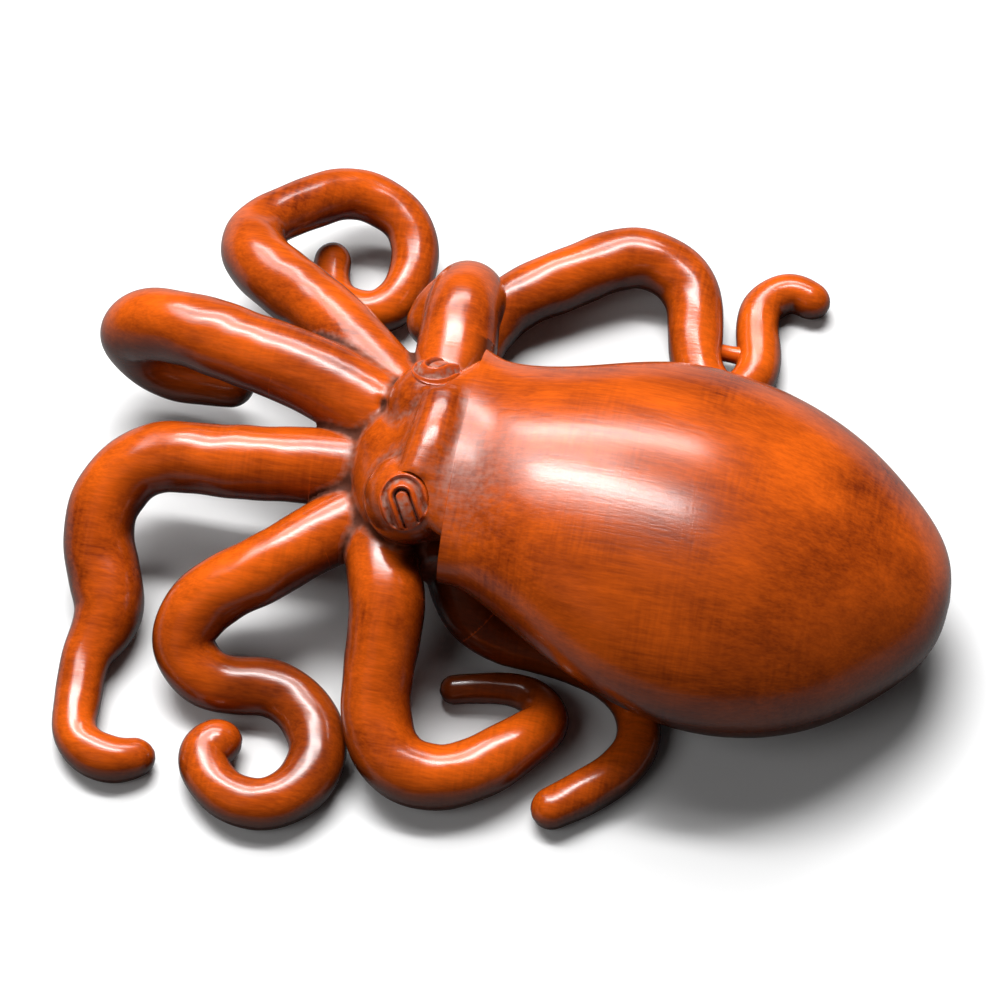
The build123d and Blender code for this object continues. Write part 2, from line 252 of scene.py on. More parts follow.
def figure_group():
    # Boxwood under stain: blotches where the stain took deeper, streaks along the block, short strokes
    # across them in patches, painted shade on what faces down and in creases, with pale dust along the
    # creases
    group = bpy.data.node_groups.new("boxwood figure", "ShaderNodeTree")
    for name in ("Light stain", "Deep stain", "Dust"):
        group.interface.new_socket(name, in_out="INPUT", socket_type="NodeSocketColor")
    group.interface.new_socket("Dust share", in_out="INPUT", socket_type="NodeSocketFloat")
    group.interface.new_socket("Color", in_out="OUTPUT", socket_type="NodeSocketColor")
    for name in ("Roughness", "Height", "Wax"):
        group.interface.new_socket(name, in_out="OUTPUT", socket_type="NodeSocketFloat")
    nodes, links = group.nodes, group.links
    given = nodes.new("NodeGroupInput")
    result = nodes.new("NodeGroupOutput")

    def feed(socket, value):
        if isinstance(value, bpy.types.NodeSocket):
            links.new(value, socket)
        else:
            socket.default_value = value

    def number(operation, first, second):
        node = nodes.new("ShaderNodeMath")
        node.operation = operation
        node.use_clamp = operation == "POWER"
        feed(node.inputs[0], first)
        feed(node.inputs[1], second)
        return node.outputs[0]

    def blend(share, first, second):
        node = nodes.new("ShaderNodeMix")
        node.data_type = "RGBA"
        feed(node.inputs[0], share)
        feed(node.inputs[6], first)
        feed(node.inputs[7], second)
        return node.outputs[2]

    def cloud(per_mm, detail, low, high):
        # Noise with so many features to the millimetre each way, spread from 0 to 1
        mapping = nodes.new("ShaderNodeMapping")
        mapping.inputs["Scale"].default_value = [value / MM for value in per_mm]
        links.new(place, mapping.inputs["Vector"])
        texture = nodes.new("ShaderNodeTexNoise")
        texture.inputs["Scale"].default_value = 1.0
        texture.inputs["Detail"].default_value = detail
        links.new(mapping.outputs[0], texture.inputs["Vector"])
        spread = nodes.new("ShaderNodeMapRange")
        links.new(texture.outputs["Fac"], spread.inputs["Value"])
        spread.inputs["From Min"].default_value = low
        spread.inputs["From Max"].default_value = high
        return spread.outputs[0]

    coordinates = nodes.new("ShaderNodeTexCoord").outputs
    place = coordinates["Object"]
    # The stain mark carries painted shade, and on the mantle its deeper stain as well
    marks = {}
    for name in ("crease", "stain"):
        attribute = nodes.new("ShaderNodeAttribute")
        attribute.attribute_name = name
        marks[name] = attribute.outputs["Fac"]
    # Painted shade: surfaces darken as they turn to face down
    facing = nodes.new("ShaderNodeSeparateXYZ")
    links.new(coordinates["Normal"], facing.inputs[0])
    below = nodes.new("ShaderNodeMapRange")
    links.new(facing.outputs["Z"], below.inputs["Value"])
    below.inputs["From Min"].default_value = UNDERSIDE_SHADE_FROM
    below.inputs["From Max"].default_value = UNDERSIDE_SHADE_FULL
    streaks = cloud(*STREAKS)
    strokes = number("MULTIPLY", cloud(*STROKES), cloud(*PATCHES))
    grain = cloud(*GRAIN)
    figure = number("MULTIPLY", cloud(*BLOTCHES), BLOTCH_SHARE)
    figure = number("ADD", figure, number("MULTIPLY", streaks, STREAK_SHARE))
    figure = number("ADD", figure, number("MULTIPLY", grain, GRAIN_SHARE))
    figure = number("SUBTRACT", number("ADD", figure, PALE_SHARE), number("MULTIPLY", strokes, STROKE_SHARE))
    stain = blend(figure, given.outputs["Deep stain"], given.outputs["Light stain"])
    # Painted shade: creases, the stain mark and what faces down all darken toward near black; the stain mark
    # also holds the mantle's deeper stain
    depth = number("MAXIMUM", number("POWER", marks["crease"], CREASE_POWER), marks["stain"])
    depth = number("MAXIMUM", depth, number("MULTIPLY", below.outputs[0], UNDERSIDE_SHADE_DEPTH))
    dark = blend(number("MULTIPLY", depth, DARKEST), stain, STAIN_AND_SHADE_BLACK)
    # Dust lies on the sides of a crease: none on top or at the bottom, and full halfway down
    sides = number("MULTIPLY", marks["crease"], number("SUBTRACT", 1.0, marks["crease"]))
    lying = number("MULTIPLY", number("MULTIPLY", sides, 4.0), cloud(*DUST_SPECKS))
    dust = number("MULTIPLY", lying, given.outputs["Dust share"])
    links.new(blend(dust, dark, given.outputs["Dust"]), result.inputs["Color"])
    rough = number("ADD", POLISH_ROUGHNESS, number("MULTIPLY", figure, PALE_WOOD_ROUGHNESS))
    rough = number("ADD", rough, number("MULTIPLY", marks["crease"], CREASE_ROUGHNESS))
    links.new(rough, result.inputs["Roughness"])
    wax = number("MULTIPLY", number("SUBTRACT", 1.0, marks["crease"]), WAX_COAT)
    links.new(wax, result.inputs["Wax"])
    height = number("ADD", streaks, number("MULTIPLY", grain, GRAIN_HEIGHT))
    height = number("SUBTRACT", height, number("MULTIPLY", strokes, STROKE_HEIGHT))
    links.new(height, result.inputs["Height"])
    return group


boxwood_figure = figure_group()


def boxwood(name, light, deep, dust_share):
    # Stained boxwood rubbed with wax: the figure shows through a thin even gloss
    material = bpy.data.materials.new(name)
    material.use_nodes = True
    nodes, links = material.node_tree.nodes, material.node_tree.links
    shader = nodes["Principled BSDF"]
    figure = nodes.new("ShaderNodeGroup")
    figure.node_tree = boxwood_figure
    figure.inputs["Light stain"].default_value = light
    figure.inputs["Deep stain"].default_value = deep
    figure.inputs["Dust"].default_value = DUST
    figure.inputs["Dust share"].default_value = dust_share
    bump = nodes.new("ShaderNodeBump")
    bump.inputs["Strength"].default_value = FIGURE_BUMP
    bump.inputs["Distance"].default_value = FIGURE_RELIEF * MM
    links.new(figure.outputs["Color"], shader.inputs["Base Color"])
    links.new(figure.outputs["Roughness"], shader.inputs["Roughness"])
    links.new(figure.outputs["Height"], bump.inputs["Height"])
    links.new(bump.outputs["Normal"], shader.inputs["Normal"])
    shader.inputs["IOR"].default_value = WAX_IOR
    links.new(figure.outputs["Wax"], shader.inputs["Coat Weight"])
    shader.inputs["Coat Roughness"].default_value = WAX_ROUGHNESS
    return material


stained_boxwood = boxwood(
    "stained boxwood", light=(0.80, 0.122, 0.005, 1), deep=(0.19, 0.021, 0.001, 1), dust_share=0.4)


def points_of(mesh, what="co"):
    values = np.empty(len(mesh.vertices) * 3)
    mesh.vertices.foreach_get(what, values)
    return values.reshape(-1, 3)


def finish_piece(piece, node, material):
    # Sets a piece in metres into its place in the frame, inside the room that the CAD model takes
    mesh = piece.data
    mesh.transform(Matrix.Translation(SETTING_OUT) @ Matrix.Scale(MM, 4))
    points = np.clip(points_of(mesh), cad_box[0], cad_box[1])
    mesh.vertices.foreach_set("co", points.reshape(-1))
    mesh.shade_smooth()
    mesh.set_sharp_from_angle(angle=math.radians(SHARP_EDGE))
    mesh.materials.clear()
    mesh.materials.append(material)
    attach(piece, "root")
    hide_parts(node)


finish_piece(mantle(), "mantle", stained_boxwood)


# The arms.
# Eight tapering arms, each carved from its own stick of boxwood, pegged and glued to a flat seat on the
# head.  Two rows of suckers run along the underside, and a web is left in right arm 4's hairpin.
# Rows: x, y, z and radius along the middle, root in the head first; the third row is the seat.
SEAT_ROW = 2
ARM_ROWS = {
    "right_arm_1": [
        (-9.5, 5.4, 9.4, 3.0), (-13.2, 6.7, 10.1, 2.8), (-16.6, 7.6, 10.4, 2.7),
        (-20.6, 8.5, 10.4, 2.65), (-24.6, 9.5, 9.8, 2.6), (-28.0, 10.2, 7.1, 2.5),
        (-26.4, 9.8, 4.5, 2.2), (-22.4, 9.4, 4.0, 1.9), (-19.4, 9.2, 4.2, 1.5),
    ],
    "right_arm_2": [
        (-8.5, 7.0, 9.0, 2.8), (-11.6, 10.0, 9.1, 2.6), (-14.6, 12.9, 8.8, 2.4),
        (-18.4, 15.6, 8.2, 2.4), (-21.3, 18.4, 7.4, 2.35), (-21.6, 20.9, 6.5, 2.05),
        (-18.9, 24.5, 5.5, 1.9), (-15.5, 26.8, 4.4, 1.85), (-11.9, 25.7, 3.4, 1.75),
        (-10.7, 22.0, 2.5, 1.7), (-12.3, 18.9, 1.8, 1.6), (-15.5, 19.5, 1.3, 1.45),
        (-16.8, 24.3, 1.2, 1.3),
    ],
    "right_arm_3": [
        (-5.0, 6.5, 9.2, 2.9), (-5.1, 9.2, 9.8, 2.85), (-5.2, 11.4, 10.2, 2.8),
        (-5.4, 14.6, 10.0, 2.75), (-5.7, 17.1, 7.8, 2.55), (-7.6, 17.0, 5.7, 1.95),
        (-8.8, 15.0, 4.3, 1.5),
    ],
    "right_arm_4": [
        (-2.6, 6.0, 5.2, 2.6), (-3.4, 9.0, 4.6, 2.5), (-4.3, 12.0, 3.6, 2.3),
        (-5.0, 16.4, 2.1, 2.05), (-3.6, 20.2, 2.4, 2.15), (0.6, 23.5, 3.0, 2.2),
        (5.8, 26.0, 3.2, 2.2), (9.0, 24.5, 2.7, 2.1), (10.2, 20.9, 2.2, 1.95),
        (11.2, 17.8, 1.7, 1.8), (13.3, 16.5, 1.5, 1.7), (14.9, 18.7, 1.4, 1.6),
        (14.5, 22.4, 1.35, 1.55), (14.6, 24.9, 1.3, 1.5), (16.3, 26.3, 1.3, 1.45),
        (19.0, 25.2, 1.2, 1.3),
    ],
    "left_arm_1": [
        (-8.5, 1.8, 7.8, 2.9), (-11.0, 1.4, 8.0, 2.75), (-13.4, 1.1, 8.2, 2.65),
        (-20.0, 0.4, 8.0, 2.5), (-24.9, -0.1, 7.1, 2.45), (-27.2, -2.9, 5.4, 2.4),
        (-26.8, -6.3, 3.5, 2.5), (-25.6, -9.6, 2.3, 2.4), (-26.3, -12.9, 1.7, 1.75),
        (-26.2, -16.2, 1.4, 1.6), (-25.6, -19.0, 1.3, 1.55), (-23.0, -20.3, 1.3, 1.6),
        (-20.2, -19.0, 1.0, 1.1),
    ],
    "left_arm_2": [
        (-7.5, -0.6, 7.2, 2.8), (-10.0, -2.4, 7.4, 2.55), (-12.2, -4.3, 7.4, 2.35),
        (-15.6, -7.1, 6.6, 2.35), (-18.6, -9.0, 5.2, 2.35), (-19.7, -11.6, 3.5, 2.15),
        (-17.6, -13.4, 2.2, 2.05), (-13.6, -13.1, 1.8, 2.0), (-10.3, -14.9, 1.75, 2.0),
        (-9.2, -18.4, 1.7, 1.95), (-11.6, -21.7, 1.6, 1.8), (-15.2, -21.2, 1.6, 1.7),
        (-16.7, -18.7, 1.6, 1.7), (-14.5, -17.1, 1.6, 1.6),
    ],
    "left_arm_3": [
        (-8.0, -2.2, 7.4, 2.4), (-7.2, -5.0, 7.7, 2.5), (-6.2, -8.1, 7.2, 2.6),
        (-6.0, -11.2, 5.7, 2.45), (-5.6, -14.8, 3.8, 2.35), (-4.0, -17.4, 2.7, 2.35),
        (-1.0, -18.0, 2.3, 2.25), (2.2, -16.4, 2.4, 2.1), (4.4, -14.2, 2.5, 1.9),
        (5.5, -12.1, 2.0, 1.6), (4.2, -10.2, 1.5, 1.25), (1.6, -9.9, 1.3, 1.1),
        (-2.1, -10.7, 1.05, 0.97),
    ],
    "left_arm_4": [
        (-2.4, -2.8, 5.4, 2.3), (-1.6, -4.9, 4.4, 2.1), (-0.2, -6.2, 3.3, 1.85),
        (3.8, -6.7, 1.7, 1.5), (8.0, -7.4, 1.4, 1.45), (11.2, -9.6, 1.4, 1.5),
        (11.8, -12.9, 1.4, 1.5), (9.6, -16.2, 1.35, 1.55), (6.0, -19.2, 1.3, 1.4),
    ],
}
ARM_AROUND = 96
ARM_TURNS = np.linspace(0, 2 * math.pi, ARM_AROUND, endpoint=False)
ARM_RING_STEP = 0.16
TIP_CLOSED = 0.995
UPRIGHT_CURLS = ("right_arm_1", "right_arm_3")
SUCKER_PITCH = 0.34
SUCKER_RADIUS = 0.30
SUCKER_SPREAD = 22.0
SUCKER_LIP = 0.025
SUCKER_LIP_WIDTH = 0.3
SUCKER_PIT = 0.05
SUCKER_PIT_REACH = 0.62
# A darker, dusty ring round each sucker: how far out it lies, and how strong it is
SUCKER_RING_REACH = 1.75
SUCKER_RING_MARK = 0.55
SUCKERS_FROM = 1.5
SUCKERS_OF_UPRIGHT_CURL = 0.45
KNIFE_DEPTH = 0.018
KNIFE_FROM = 2.5
KNIFE_TURN = 1.7
# Swells that the knife leaves: how fast they come along the arm, sides around it, twist to the millimetre.
LONG_SWELL = (0.9, 2, 0.35)
SHORT_SWELL = (1.7, 3, -0.6)
SHORT_SWELL_SHARE = 0.7
# Painted shade on the flanks of the arms and the head: how deep, and below which upward facing it begins
FLANK_SHADE_DEPTH = 0.85
FLANK_SHADE_FROM = 0.92
# Stretches that lie in the shade of other parts, darkened as painted shadow: start and end, as shares of the
# arm, and how deep the painted shadow is.
SHADOWED_STRETCHES = {
    "left_arm_2": (0.42, 0.66, 0.5),
    "left_arm_3": (0.80, 1.0, 0.85),
    "left_arm_4": (0.0, 0.45, 0.85),
}
SHADOW_FADE = 0.1
HAIRPIN_WEB_ROWS = [(10.6, 20.0, 1.9, 0.9), (12.7, 20.1, 1.6, 0.6), (14.8, 20.2, 1.4, 0.9)]
SLIVER = 0.002
TANGENT_STEP = 0.01


def stations(rows, start, end, step):
    # Middle, radius and untwisted cross directions at even steps along an arm
    places = np.linspace(start, end, max(round((end - start) / step), 2) + 1)
    curve = along_rows(rows, places)
    tangents = (along_rows(rows, places + TANGENT_STEP) - along_rows(rows, places - TANGENT_STEP))[:, :3]
    tangents /= np.linalg.norm(tangents, axis=1)[:, None]
    sides = np.zeros_like(tangents)
    side = np.cross(tangents[0], (0, 0, 1))
    for index, tangent in enumerate(tangents):
        side = side - tangent * side.dot(tangent)
        side /= np.linalg.norm(side)
        sides[index] = side
    return places, curve[:, :3], curve[:, 3], tangents, sides, np.cross(sides, tangents)


def spokes(sides, ups):
    # Directions from the middle of each station out to its ring
    across = sides[:, None] * np.cos(ARM_TURNS)[None, :, None]
    return across + ups[:, None] * np.sin(ARM_TURNS)[None, :, None]


def tube_rings(rows, start, end, step):
    # Rounds along a stretch of an arm
    _, middles, radii, _, sides, ups = stations(rows, start, end, step)
    return middles[:, None] + spokes(sides, ups) * radii[:, None, None]


def sucker_relief(places, radii, downs, until):
    # Two staggered rows of ring-shaped suckers along the underside, smaller towards the tip
    relief = np.zeros((len(places), ARM_AROUND))
    pit = np.zeros_like(relief)
    at = places[0] + SUCKERS_FROM
    side = 1
    while at < until:
        radius = np.interp(at, places, radii)
        size = SUCKER_RADIUS * radius
        middle = np.interp(at, places, downs) + side * math.radians(SUCKER_SPREAD)
        away = (ARM_TURNS - middle + math.pi) % (2 * math.pi) - math.pi
        reach = np.hypot((places - at)[:, None], (away * radius)[None, :]) / size
        lip = np.exp(-((reach - 1) / SUCKER_LIP_WIDTH) ** 2)
        hollow = np.exp(-(reach / SUCKER_PIT_REACH) ** 2)
        relief += (SUCKER_LIP * lip - SUCKER_PIT * hollow) * radius
        # Painted shade darkens each sucker's pit; a darker, dusty ring lies round it
        ring_mark = SUCKER_RING_MARK * np.exp(-((reach - SUCKER_RING_REACH) / SUCKER_LIP_WIDTH) ** 2)
        pit = np.maximum(pit, np.maximum(hollow, ring_mark))
        at += SUCKER_PITCH * radius
        side = -side
    return relief, pit


def knife_work(places, radii, arm_number):
    # Slow swells and flats that the knife leaves on a round arm, none at the seat
    along = (places - places[0])[:, None]
    around = ARM_TURNS[None, :]
    turn = KNIFE_TURN * arm_number
    pace, sides, twist = LONG_SWELL
    swell = np.sin(pace * along + turn) * np.cos(sides * around + twist * along)
    pace, sides, twist = SHORT_SWELL
    swell += SHORT_SWELL_SHARE * np.sin(pace * along - turn) * np.cos(sides * around + twist * along + turn)
    return KNIFE_DEPTH * swell * radii[:, None] * np.clip(along / KNIFE_FROM, 0, 1)


def eased(value):
    # A soft step from 0 to 1
    value = np.clip(value, 0, 1)
    return value * value * (3 - 2 * value)


def painted_flank_shade(upward):
    # Painted shade on the flanks, darker the less a surface faces up
    return FLANK_SHADE_DEPTH * eased(FLANK_SHADE_FROM - upward)


def reshape(piece, tools, operation):
    # Joins other closed shapes to a piece, or cuts them out of it, and drops the slivers along the cuts
    for tool in tools:
        step = piece.modifiers.new("step", "BOOLEAN")
        step.operation = operation
        step.solver = "EXACT"
        step.object = tool
    shown = piece.evaluated_get(bpy.context.evaluated_depsgraph_get())
    mesh = bpy.data.meshes.new_from_object(shown)
    piece.modifiers.clear()
    piece.data = mesh
    for tool in tools:
        bpy.data.objects.remove(tool)
    solid = bmesh.new()
    solid.from_mesh(mesh)
    bmesh.ops.triangulate(solid, faces=solid.faces)
    bmesh.ops.dissolve_degenerate(solid, dist=SLIVER, edges=solid.edges)
    bmesh.ops.triangulate(solid, faces=solid.faces)
    solid.to_mesh(mesh)
    solid.free()


def arm(name):
    # A round arm from its seat to its rounded tip, flat where it lies on the table
    rows = ARM_ROWS[name]
    knots = row_places(rows)
    seat, end, tip_radius = knots[SEAT_ROW], knots[-1], rows[-1][3]
    places, middles, radii, _, sides, ups = stations(rows, seat, end, ARM_RING_STEP)
    downs = np.unwrap(np.arctan2(-ups[:, 2], -sides[:, 2]))
    until = end - tip_radius
    if name in UPRIGHT_CURLS:
        until = seat + SUCKERS_OF_UPRIGHT_CURL * (end - seat)
    relief, pit = sucker_relief(places, radii, downs, until)
    relief += knife_work(places, radii, list(ARM_ROWS).index(name))
    rounding = np.clip((places - (end - tip_radius)) / tip_radius, 0, TIP_CLOSED)
    closing = np.sqrt(1 - rounding ** 2)[:, None]
    rings = middles[:, None] + spokes(sides, ups) * ((radii[:, None] + relief) * closing)[..., None]
    rings[..., 2] = np.maximum(rings[..., 2], 0.0)
    stain_and_shade = painted_flank_shade(spokes(sides, ups)[..., 2])
    # Painted shadow along the stretches that other parts shade
    if name in SHADOWED_STRETCHES:
        first, last, depth = SHADOWED_STRETCHES[name]
        share = (places - seat) / (end - seat)
        shaded = eased((share - first) / SHADOW_FADE + 1) * eased((last - share) / SHADOW_FADE + 1)
        stain_and_shade = np.maximum(stain_and_shade, depth * shaded[:, None])
    piece = piece_of_rings(name, rings, pit * closing, stain_and_shade)
    if name == "right_arm_4":
        web_end = row_places(HAIRPIN_WEB_ROWS)[-1]
        web = piece_of_rings("hairpin web", tube_rings(HAIRPIN_WEB_ROWS, 0.0, web_end, ARM_RING_STEP))
        reshape(piece, [web], "UNION")
    return piece


for arm_name in ARM_ROWS:
    finish_piece(arm(arm_name), arm_name, stained_boxwood)


# The head.
# A narrow saddle with a brow ridge between the eyes, carved from one block with the crown under it, the
# stumps that the arms are pegged to and the neck.  The stumps run into each other in soft hollows.
# Rows like the mantle's.  The saddle meets the collar at the same height, in the bottom of a valley.
HEAD_ROWS = [
    (-10.3, 1.8, 9.6, 2.4, 1.2, 2.0),
    (-9.2, 1.5, 9.8, 4.4, 2.4, 3.4),
    (-7.2, 1.1, 10.4, 5.8, 3.6, 4.0),
    (-4.5, 1.0, 11.2, 6.2, 5.0, 2.8),
    (-3.4, 1.1, 11.2, 5.9, 4.4, 2.4),
    (-2.2, 1.2, 11.1, 5.8, 4.2, 2.2),
]
SADDLE_ROWS = [
    (-5.2, 1.0, 13.0, 5.2, 3.0, 1.2),
    (-4.4, 1.05, 13.0, 5.8, 3.25, 1.1),
    (-3.6, 1.2, 13.0, 6.6, 2.92, 1.0),
    (-2.8, 1.4, 13.0, 7.2, 2.8, 0.9),
    (-2.0, 1.2, 13.0, 7.2, 2.85, 0.8),
    (-1.2, 1.0, 13.0, 7.2, 3.0, 0.8),
]
COLLAR_ROOM = 1.0
CROWN_CENTRE = (-6.8, 2.0, 6.4)
CROWN_HALF = (6.2, 7.6, 4.2)
BALL_AROUND = 96
BALL_RINGS = 64
BLOCK_RINGS = 40
BROW_RING_STEP = 0.3
STUMP_RING_STEP = 0.4
BROW_ROWS = [(-5.2, -2.6, 14.2, 1.5), (-4.6, 0.5, 14.6, 1.8), (-4.6, 4.2, 14.3, 1.7)]
NECK_ROWS = [(-4.6, 1.4, 11.0, 5.5, 2.7, 2.7), (1.2, 1.4, 11.0, 5.5, 2.7, 2.7)]
EYE_MOUND_RADIUS = 3.1
EYE_PLACES = {"left_eye": ((-5.7, -4.4, 14.6), -1), "right_eye": ((-5.6, 6.6, 14.7), 1)}
EYE_LEAN = 35.0
EYE_RADIUS = 1.7
EYE_OVAL = 1.18
EYE_SHANK = 2.2
SKIN_STEP = 0.2
SKIN_SMOOTHING = 16
SKIN_SOFTENING = 0.5
ROOT_SPARE = 1.5
SEAT_SPARE = 0.25
# Painted shade on the cut faces of the seats whose arm roots lie in painted shadow
SEAT_SHADE = {"left_arm_4": 0.9}
TRUED_LENGTH = 2.2
TRUED_FULLY = 0.6
TRUED_REACH = 0.35
TRUED_STEP = 0.1
TRUED_AREA = 5
TRUED_AHEAD = 0.3
TRUED_LEAST = 0.1
FULL_CREASE = 0.065
HOLLOW_SPREAD = 10
HOLLOW_SMOOTHING = 3
# Painted shade in the recess under the near eye and the collar, as limits along x, y and z.
RECESS_FRONT = -6.2
RECESS_TOP = 12.9
RECESS_SIDE = -7.0
RECESS_BACK = -3.8
RECESS_SHADE = 0.9


def eye_frame(place, side):
    # The place of an eye, leaning out to its side
    return Matrix.Translation(place) @ Matrix.Rotation(math.radians(-side * EYE_LEAN), 4, "X")


def add_ball(block, centre, half):
    matrix = Matrix.Translation(centre) @ Matrix.Diagonal((*half, 1))
    bmesh.ops.create_uvsphere(
        block, u_segments=BALL_AROUND, v_segments=BALL_RINGS, radius=1, matrix=matrix)


def add_rings(block, rings):
    rings = np.asarray(rings)
    points = [block.verts.new(point) for point in rings.reshape(-1, 3)]
    for face in ring_faces(*rings.shape[:2]):
        block.faces.new([points[index] for index in face])


def seat_place(rows):
    # How far along an arm its seat lies
    return row_places(rows)[SEAT_ROW]


def head_block():
    # The forms that the head is roughed out from, still running through each other
    block = bmesh.new()
    add_rings(block, egg_rings(HEAD_ROWS, BLOCK_RINGS))
    add_rings(block, egg_rings(SADDLE_ROWS, BLOCK_RINGS))
    add_ball(block, CROWN_CENTRE, CROWN_HALF)
    add_rings(block, tube_rings(BROW_ROWS, 0.0, row_places(BROW_ROWS)[-1], BROW_RING_STEP))
    for rows in ARM_ROWS.values():
        add_rings(block, tube_rings(rows, 0.0, seat_place(rows) + ROOT_SPARE, STUMP_RING_STEP))
    for place, side in EYE_PLACES.values():
        middle = eye_frame(place, side) @ Vector((0, 0, -EYE_MOUND_RADIUS))
        add_ball(block, middle, [EYE_MOUND_RADIUS] * 3)
    bmesh.ops.recalc_face_normals(block, faces=block.faces)
    return block


def skin_over(block):
    # One closed skin over everything in the block, smoothed where shapes run into each other
    mesh = bpy.data.meshes.new("head block")
    block.to_mesh(mesh)
    block.free()
    solid = bpy.data.objects.new("head block", mesh)
    bpy.context.collection.objects.link(solid)
    skin = solid.modifiers.new("skin", "REMESH")
    skin.mode = "VOXEL"
    skin.voxel_size = SKIN_STEP
    soften = solid.modifiers.new("soften", "SMOOTH")
    soften.factor = SKIN_SOFTENING
    soften.iterations = SKIN_SMOOTHING
    shown = solid.evaluated_get(bpy.context.evaluated_depsgraph_get())
    result = bpy.data.meshes.new_from_object(shown)
    bpy.data.objects.remove(solid)
    return result


def hollow_depth(mesh):
    # How deep each point lies in a hollow, from how far its neighbours stand above it
    count = len(mesh.vertices)
    points, normals = points_of(mesh), points_of(mesh, "normal")
    edges = np.empty(len(mesh.edges) * 2, int)
    mesh.edges.foreach_get("vertices", edges)
    first, second = edges.reshape(-1, 2).T
    share = np.bincount(first, minlength=count) + np.bincount(second, minlength=count)

    def neighbours(values):
        total = np.zeros_like(values)
        np.add.at(total, first, values[second])
        np.add.at(total, second, values[first])
        return total / np.maximum(share, 1).reshape(-1, *[1] * (values.ndim - 1))

    mean = points
    for _ in range(HOLLOW_SPREAD):
        mean = neighbours(mean)
    depth = ((mean - points) * normals).sum(1)
    for _ in range(HOLLOW_SMOOTHING):
        depth = neighbours(depth)
    return np.clip(depth / FULL_CREASE, 0, 1)


def true_to_arm(points, rows):
    # Brings the skin near a seat onto the round of the arm, so that the two meet flush
    seat = seat_place(rows)
    start, end = seat - TRUED_LENGTH, seat + ROOT_SPARE
    places, middles, radii, tangents, _, _ = stations(rows, start, end, TRUED_STEP)
    near = np.flatnonzero(np.linalg.norm(points - middles[len(middles) // 2], axis=1) < TRUED_AREA)
    out = points[near][:, None] - middles[None]
    closest = np.linalg.norm(out, axis=2).argmin(1)
    out = out[np.arange(len(near)), closest]
    ahead = (out * tangents[closest]).sum(1)
    out -= tangents[closest] * ahead[:, None]
    reach = np.linalg.norm(out, axis=1)
    short = radii[closest] - reach
    along = (places[closest] - start) / (TRUED_LENGTH - TRUED_FULLY)
    weight = eased(along) * eased(2 - 2 * np.abs(short) / TRUED_REACH) * (np.abs(ahead) < TRUED_AHEAD)
    points[near] += out * (weight * short / np.maximum(reach, TRUED_LEAST))[:, None]


def seat_cut(name):
    # The room that an arm takes up beyond its seat, with painted shade on its cut faces where the arm's root
    # lies in painted shadow
    rows = ARM_ROWS[name]
    wider = [row[:3] + (row[3] + SEAT_SPARE,) for row in rows]
    seat = seat_place(rows)
    rings = tube_rings(wider, seat, seat + 2 * ROOT_SPARE, 2 * ARM_RING_STEP)
    stain_and_shade = np.full(rings.shape[:2], SEAT_SHADE.get(name, 0.0))
    return piece_of_rings("seat cut", rings, stain_and_shade=stain_and_shade)


def eye_hole(place, side):
    # The oval hole that an eye is let into
    across = EYE_RADIUS * np.cos(ARM_TURNS)
    up = EYE_RADIUS * EYE_OVAL * np.sin(ARM_TURNS)
    rings = []
    for height in (-EYE_SHANK, EYE_MOUND_RADIUS):
        ring = [eye_frame(place, side) @ Vector((x, y, height)) for x, y in zip(across, up)]
        rings.append([list(point) for point in ring])
    return piece_of_rings("eye hole", rings)


def head():
    # The skin over the block, trued to the arms, with seats, eye holes and the collar's room cut out
    mesh = skin_over(head_block())
    points = points_of(mesh)
    for rows in ARM_ROWS.values():
        true_to_arm(points, rows)
    mesh.vertices.foreach_set("co", points.reshape(-1))
    mesh.update()
    # Painted shade in the recess under the near eye and on the flanks of the head
    recess = RECESS_SHADE * eased(points[:, 0] - RECESS_FRONT) * eased(RECESS_TOP - points[:, 2])
    recess *= np.maximum(eased(points[:, 1] - RECESS_SIDE), eased(points[:, 0] - RECESS_BACK))
    # Painted shade and dust in the hollows between the stumps and in the valley
    mark(mesh, "crease", np.maximum(hollow_depth(mesh), valley_dust_and_shade(points)))
    mark(mesh, "stain", np.maximum(recess, painted_flank_shade(points_of(mesh, "normal")[:, 2])))
    piece = bpy.data.objects.new("head", mesh)
    bpy.context.collection.objects.link(piece)
    seats = [seat_cut(name) for name in ARM_ROWS]
    holes = [eye_hole(place, side) for place, side in EYE_PLACES.values()]
    room = [row[:4] + (row[4] + COLLAR_ROOM, row[5]) for row in MANTLE_ROWS]
    body = piece_of_rings("mantle room", egg_rings(room, MANTLE_RINGS))
    reshape(piece, seats + [body] + holes, "DIFFERENCE")
    neck = piece_of_rings("neck", [body_ring(row) for row in NECK_ROWS])
    reshape(piece, [neck], "UNION")
    return piece


finish_piece(head(), "head", stained_boxwood)


# The eyes.
# Oval plugs of boxwood let into the mounds and rubbed down flush, with an arch cut round a flat tongue
# that stands for the pupil, a bead round the arch and a dusty gutter round the bead.
EYE_DOME_HEIGHT = 0.16
EYE_DOME_RADIUS = 3.1
EYE_RINGS = 90
EYE_CENTRE = 0.001
EYE_RIM = 0.10
EYE_ARCH_RISE = 0.3
EYE_ARCH_TURN = 27.0
# Cuts and beads round the arch: how far out from its middle line, half width, height.
ARCH_SLIT = (0.49, 0.085, -0.34)
ARCH_BEAD = (0.77, 0.20, 0.28)
ARCH_GUTTER = (1.20, 0.19, -0.22)
ARCH_BORDER = (1.52, 0.16, 0.14)
ARCH_TONGUE = 0.40
TONGUE_EDGE = 0.10
TONGUE_HEIGHT = 0.04
# The gutter's crease mark brings dust and painted shade; the tongue's brings mostly dust
GUTTER_DUST_AND_SHADE = 0.8
TONGUE_DUST = 0.3


